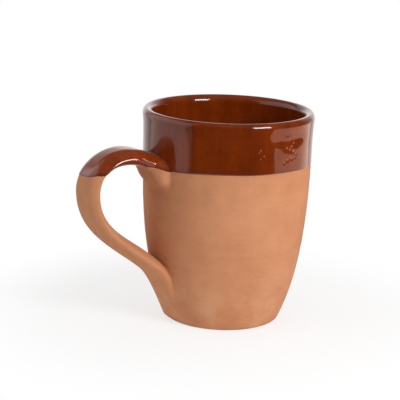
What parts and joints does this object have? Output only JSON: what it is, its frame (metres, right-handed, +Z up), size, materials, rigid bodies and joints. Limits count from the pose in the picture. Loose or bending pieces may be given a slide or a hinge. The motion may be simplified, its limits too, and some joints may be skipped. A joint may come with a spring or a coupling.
{
  "type": "clay mug",
  "caption": "Thrown terracotta mug with a pulled strap handle, glazed inside and dipped in brown glaze at the rim, for hot or cold drinks.",
  "frame": {"origin": "centre of the flat foot, on the plane that the mug stands on", "axes": "+Z up along the mug's axis, the handle points along -X, and the mug is the same on both sides of the XZ plane"},
  "size_m": [0.1154, 0.0806, 0.1],
  "materials": {
    "clay": "bare fired earthenware, matt, with faint throwing lines",
    "slip": "fired slip of the same clay, matt",
    "glaze": "glossy transparent honey glaze over red clay, with a few pinholes"
  },
  "bodies": {
    "root": {"clay_body": "clay", "handle": "clay", "upper_joint_slip": "slip", "lower_joint_slip": "slip", "glaze_lining": "glaze", "glaze_band": "glaze", "handle_glaze": "glaze"}
  },
  "joints": []
}
